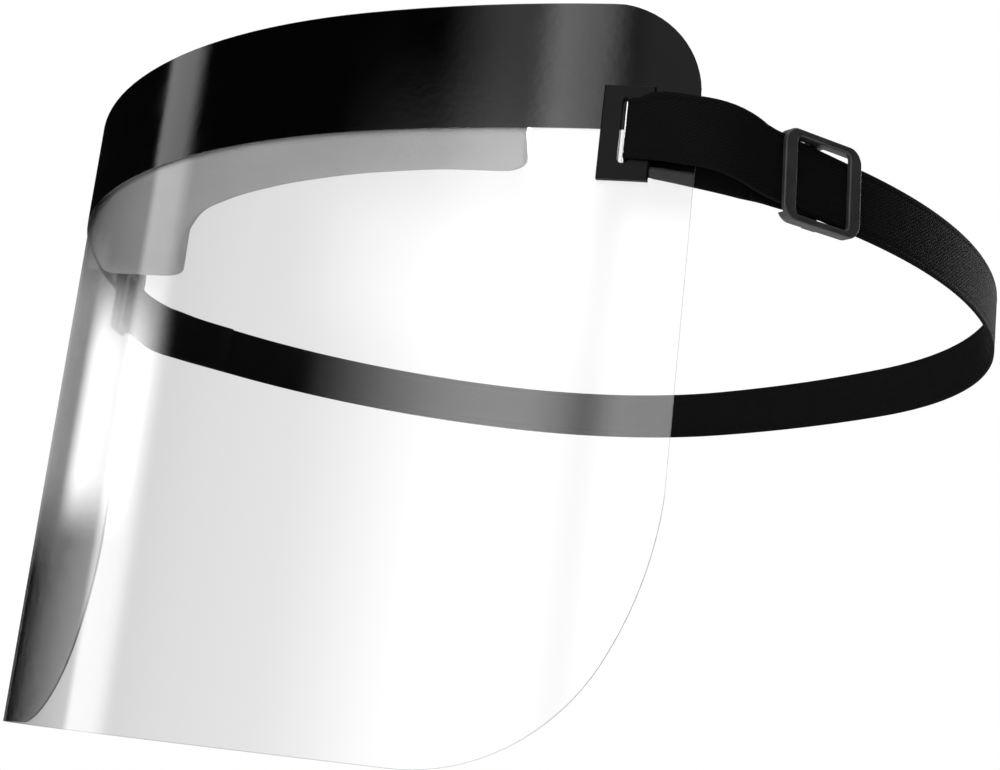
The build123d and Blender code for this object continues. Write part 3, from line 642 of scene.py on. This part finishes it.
def left_half(end_x, straight_y, share):
    """From the inner leg through the left slot and round to the middle of the back."""
    if straight_y:
        path = Path(end_x, straight_y, -pi / 2, INNER_DIP)
        path.straight(straight_y - bend_point(end_x, 1.0)[1])
    else:
        x, y, angle = bend_point(end_x, share)
        path = Path(x, y, angle - pi, INNER_DIP)
    radius, turn = inner_bend(end_x)
    path.arc(radius, -turn * share, 2.0)
    path.arc(FOLD_CORNER, pi / 2, 0.3)
    path.straight(OUTER_LEG - INNER_LEG - 2 * FOLD_CORNER, 1.2)
    path.side = OUTER_LIFT
    path.arc(FOLD_CORNER, pi / 2, 0.3)
    turned = heading(OUTER_LEG_END) - heading(SLOT_REAR)
    path.arc(END_RADIUS + OUTER_LEG, turned, 2.0)
    x, y, direction, _ = path.samples[-1]
    path.arc((SIDE_X - x) / (1 - sin(direction)), pi / 2 - direction, 2.0)
    path.straight(STRAIGHT_END_Y - path.samples[-1][1], 4.0)
    path.arc(*SIDE_ARC)
    path.arc(*CORNER_ARC)
    x, y, direction, _ = path.samples[-1]
    path.arc(x / sin(pi - direction), pi - direction)
    return path.samples


def webbing_section():
    """Outline of the webbing: rounded selvages and a shallow groove two millimetres in from each."""
    half = STRAP_WIDTH / 2
    thick = STRAP_THICKNESS / 2
    upper = [(half, 0.0), (half - 0.12, 0.6), (half - 0.45, 0.92), (half - 1.2, 1.0), (half - 1.7, 0.95),
             (half - 2.0, 0.76), (half - 2.3, 0.93), (half - 3.4, 0.97), (half - 6.0, 1.0), (1.6, 0.97)]
    front = upper + [(-v, t) for v, t in reversed(upper)]
    rear = [(v, -t) for v, t in reversed(front)][1:-1]
    return [(v, t * thick) for v, t in front + rear]


def ribbon(name, samples):
    """A closed flat band swept along plan samples; its width stands up across the path."""
    section = webbing_section()
    count = len(section)
    points, uvs = [], []
    travelled = 0.0
    places = [Vector((x, y, strap_height(y, side))) for x, y, _, side in samples]
    for number, (x, y, direction, side) in enumerate(samples):
        before = places[max(0, number - 1)]
        after = places[min(len(places) - 1, number + 1)]
        if number:
            travelled += (places[number] - before).length
        outwards = Vector((sin(direction), -cos(direction), 0.0))
        ahead = (after - before).normalized()
        upwards = outwards.cross(ahead) * -1.0
        if upwards.z < 0:
            upwards = upwards * -1.0
        upwards.normalize()
        for across, out in section:
            points.append(places[number] + upwards * (across * strap_gather(y, side)) + outwards * out)
            uvs.append((travelled * MM, (across + (0.0 if out >= 0 else 0.0005)) * MM))
    faces = []
    for row in range(len(samples) - 1):
        for column in range(count):
            beside = (column + 1) % count
            faces.append((row * count + column, row * count + beside,
                          (row + 1) * count + beside, (row + 1) * count + column))
    half = count // 2
    for base, flip in ((0, False), ((len(samples) - 1) * count, True)):
        for column in range(half):
            upper, below = column, (count - column) % count
            next_upper, next_below = column + 1, count - column - 1
            ring = []
            for corner in (upper, next_upper, next_below, below):
                if base + corner not in ring:
                    ring.append(base + corner)
            if len(ring) > 2:
                faces.append(tuple(reversed(ring)) if not flip else tuple(ring))
    piece = make_piece(name, points, faces, MATERIALS["elastic_webbing"], uvs)
    repair_normals(piece)
    return piece


def repair_normals(piece):
    """Turns every face outwards."""
    work = bmesh.new()
    work.from_mesh(piece.data)
    bmesh.ops.recalc_face_normals(work, faces=work.faces)
    work.to_mesh(piece.data)
    work.free()


def head_strap():
    """The elastic from the left inner leg round the head to the sewn return at the right, in one piece."""
    left = left_half(SIDE_X - BAR_MIDDLE, None, INNER_SPLIT)
    right = left_half(SIDE_X - RETURN_INWARDS, RETURN_END_Y, 1.0)
    mirrored = [(-x, y, 2 * pi - direction, side) for x, y, direction, side in reversed(right)]
    piece = ribbon("strap_webbing", left + mirrored[1:])
    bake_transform(piece)
    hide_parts("strap_fold_left", "strap_fold_right", "strap_leg_left", "strap_leg_right",
                "strap_side_left", "strap_side_right", "strap_back", "strap_return_right")


def sewn_end():
    """The left end of the elastic: from the inner leg round the slider's centre bar and back on itself."""
    end_x = SIDE_X - BAR_MIDDLE
    radius, turn = inner_bend(end_x)
    path = Path(*bend_point(end_x, INNER_SPLIT), INNER_DIP)
    path.arc(radius, turn * (1 - INNER_SPLIT) * SEWN_BEND, 1.5)
    samples = list(path.samples)
    first_y = samples[-1][1]
    ring = BAR_HALF + STRAP_THICKNESS / 2
    bar_y = SLIDER_Y - SEWN_TURN
    run = bar_y - first_y
    steps = 14
    for number in range(1, steps + 1):
        share = number / steps
        y = first_y + run * share
        samples.append(beside_bend(end_x, y, ring * smooth_step(share), 0.0))
    for number in range(1, steps):
        angle = pi * number / steps
        samples.append((end_x + ring * cos(angle), SLIDER_Y + 1.25 * ring * sin(angle), pi / 2 + angle, 0.0))
    for number in range(steps - 1):
        share = number / (steps - 2)
        y = bar_y - (run - SEWN_STOP) * share * SEWN_RETURN
        out = -ring + (ring - STRAP_THICKNESS + SEWN_PRESS) * smooth_step(share * 1.6)
        samples.append(beside_bend(end_x, y, out, pi))
    piece = ribbon("strap_sewn_end", samples)
    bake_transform(piece)
    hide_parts("strap_inner_leg_left", "strap_end_loop")


def beside_bend(end_x, y, out, turned):
    """A sample beside the inner leg's bend at one y, with its heading turned on."""
    x, angle = bend_at(end_x, y)
    return x + out * sin(angle), y - out * cos(angle), angle + turned, INNER_DIP


def bend_at(end_x, y):
    """X and heading of the inner leg at one y."""
    radius, turn = inner_bend(end_x)
    top_y = bend_point(end_x, 1.0)[1]
    if y >= top_y:
        return end_x, pi / 2
    angle = pi / 2 - min(turn, (top_y - y) / radius)
    return end_x - radius * (1 - sin(angle)), angle


# ---- stage ----
def floor():
    """A wide plain pale floor well below the shield, which its mount holds up."""
    low, high = cad_box
    middle = Vector(((low.x + high.x) / 2, (low.y + high.y) / 2, low.z - FLOOR_DROP))
    mesh = bpy.data.meshes.new("floor")
    turns = ((-1, -1), (1, -1), (1, 1), (-1, 1))
    corners = [middle + Vector((a * FLOOR_HALF, b * FLOOR_HALF, 0)) for a, b in turns]
    mesh.from_pydata(corners, [], [(0, 1, 2, 3)])
    m = Nodes("floor")
    tone = m.noise(m.place(), 3.0, 2.0)
    mesh.materials.append(m.surface(m.blend(tone, grey(0.90), grey(0.93)), 0.9))
    plane = bpy.data.objects.new("floor", mesh)
    bpy.context.scene.collection.objects.link(plane)


def softbox(name, azimuth, elevation, distance, width, height, power):
    """A soft rectangular light at a plan angle from +X and an angle above level, aimed at the shield."""
    data = bpy.data.lights.new(name, "AREA")
    data.shape = "RECTANGLE"
    data.size = width
    data.size_y = height
    data.energy = power
    lamp = bpy.data.objects.new(name, data)
    a, e = radians(azimuth), radians(elevation)
    away = Vector((cos(a) * cos(e), sin(a) * cos(e), sin(e)))
    lamp.location = Vector(LIGHTS_AIM) + away * distance
    lamp.rotation_mode = "QUATERNION"
    lamp.rotation_quaternion = away.to_track_quat("Z", "Y")
    lamp.visible_camera = False
    lamp.visible_glossy = False
    bpy.context.scene.collection.objects.link(lamp)


class Sky:
    """The studio as the object mirrors it: a dim room with soft-edged glowing panels, by direction."""

    def __init__(self):
        world = bpy.data.worlds.new("studio")
        bpy.context.scene.world = world
        world.use_nodes = True
        self.tree = world.node_tree
        place = self.tree.nodes.new("ShaderNodeTexCoord")
        axes = self.tree.nodes.new("ShaderNodeSeparateXYZ")
        self.tree.links.new(place.outputs["Generated"], axes.inputs[0])
        self.bearing = self.sum("ARCTAN2", axes.outputs["Y"], axes.outputs["X"])
        self.height = self.sum("ARCSINE", axes.outputs["Z"])
        self.light = 0.0

    def sum(self, operation, first, second=0.0):
        """One sum on two numbers or sockets."""
        node = self.tree.nodes.new("ShaderNodeMath")
        node.operation = operation
        for value, target in ((first, node.inputs[0]), (second, node.inputs[1])):
            if isinstance(value, bpy.types.NodeSocket):
                self.tree.links.new(value, target)
            else:
                target.default_value = value
        return node.outputs[0]

    def ramp(self, value, start, end):
        """A smooth rise from 0 to 1 between two angles in degrees."""
        node = self.tree.nodes.new("ShaderNodeMapRange")
        node.interpolation_type = "SMOOTHSTEP"
        self.tree.links.new(value, node.inputs["Value"])
        node.inputs["From Min"].default_value = radians(start)
        node.inputs["From Max"].default_value = radians(end)
        return node.outputs["Result"]

    def panel(self, bearings, heights, strength):
        """A soft-edged panel. Bearings from +X and heights above level are in degrees, each four angles:
        where the glow starts, is full, starts to fade and ends."""
        glow = strength
        for value, angles in ((self.bearing, bearings), (self.height, heights)):
            glow = self.sum("MULTIPLY", self.ramp(value, angles[0], angles[1]), glow)
            glow = self.sum("MULTIPLY", self.ramp(value, angles[3], angles[2]), glow)
        self.light = self.sum("ADD", glow, self.light)

    def rising(self, start, end, strength):
        """Light from above, from one height upwards."""
        glow = self.sum("MULTIPLY", self.ramp(self.height, start, end), strength)
        self.light = self.sum("ADD", glow, self.light)

    def finish(self, room, backdrop):
        """Adds the room's own dim light; the backdrop itself is plain white."""
        path = self.tree.nodes.new("ShaderNodeLightPath")
        choose = self.tree.nodes.new("ShaderNodeMix")
        self.tree.links.new(path.outputs["Is Camera Ray"], choose.inputs["Factor"])
        self.tree.links.new(self.sum("ADD", self.light, room), choose.inputs["A"])
        choose.inputs["B"].default_value = backdrop
        back = self.tree.nodes["Background"]
        self.tree.links.new(choose.outputs["Result"], back.inputs["Strength"])
        back.inputs["Color"].default_value = (1.0, 1.0, 1.0, 1.0)


def studio_world():
    """What the object mirrors: panels at its front right, before it, at its front left and behind it, and
    light above. Bearings are from the wearer's left, with the front at -90."""
    sky = Sky()
    sky.panel((-152.5, -149.5, -142, -136), (-25, -11, 22, 36), 1.45)
    sky.panel((-152.5, -149.5, -139, -134), (-25, -15, 11, 15), 1.0)
    sky.panel((-175, -163, -148, -138), (5.5, 8, 11.5, 15), 4.0)
    sky.panel((150, 158, 185, 190), (4, 8.5, 13, 16.5), 0.42)
    sky.panel((-190, -185, -172, -166), (4, 8.5, 13, 16.5), 0.42)
    sky.panel((-100, -70, -66, -50), (-26, -10, 13, 24), 2.8)
    sky.panel((-108, -88, -66, -50), (12.5, 15.5, 17, 19.5), 0.9)
    sky.panel((-84, -72, -66, -60), (14, 22, 45, 60), 0.9)
    sky.panel((-70, -65, -61, -55), (14, 22, 45, 60), 2.2)
    sky.panel((-58, -52, -35, -20), (-26, -10, 18, 19.7), 2.5)
    sky.panel((-60, -52, -35, -20), (17, 20, 30, 38), 0.42)
    sky.panel((80, 90, 105, 111), (2, 8, 24, 34), 6.0)
    sky.panel((111, 118, 140, 150), (17, 20, 26, 34), 6.0)
    sky.rising(38, 75, 1.6)
    sky.finish(0.004, 1.0)


def studio_lights():
    """Soft light from above and behind, which the glossy faces don't mirror."""
    softbox("overhead", -90, 78, 1.5, 1.6, 1.6, 24)
    softbox("rear_fill", 70, 35, 1.8, 1.4, 0.9, 8)
    softbox("front_fill", -60, 20, 1.8, 1.2, 0.9, 8)


def camera():
    """A camera low at the wearer's front left, looking slightly up."""
    azimuth, elevation = radians(CAMERA_AZIMUTH), radians(CAMERA_ELEVATION)
    back = Vector((sin(azimuth) * cos(elevation), -cos(azimuth) * cos(elevation), sin(elevation)))
    right = (-back).cross(Vector((0, 0, 1))).normalized()
    up = right.cross(-back)
    across = right * cos(CAMERA_ROLL) + up * sin(CAMERA_ROLL)
    upright = up * cos(CAMERA_ROLL) - right * sin(CAMERA_ROLL)
    data = bpy.data.cameras.new("camera")
    data.lens = CAMERA_LENS
    data.sensor_width = 36.0
    data.shift_x, data.shift_y = CAMERA_SHIFT
    data.clip_start = 0.01
    eye = bpy.data.objects.new("camera", data)
    matrix = Matrix((across, upright, back)).transposed().to_4x4()
    matrix.translation = Vector(CAMERA_PLACE)
    eye.matrix_world = matrix
    bpy.context.scene.collection.objects.link(eye)
    bpy.context.scene.camera = eye


bpy.context.scene.view_settings.view_transform = "Standard"
dress_cad_nodes()
forehead_pad()
head_strap()
sewn_end()
floor()
studio_world()
studio_lights()
camera()
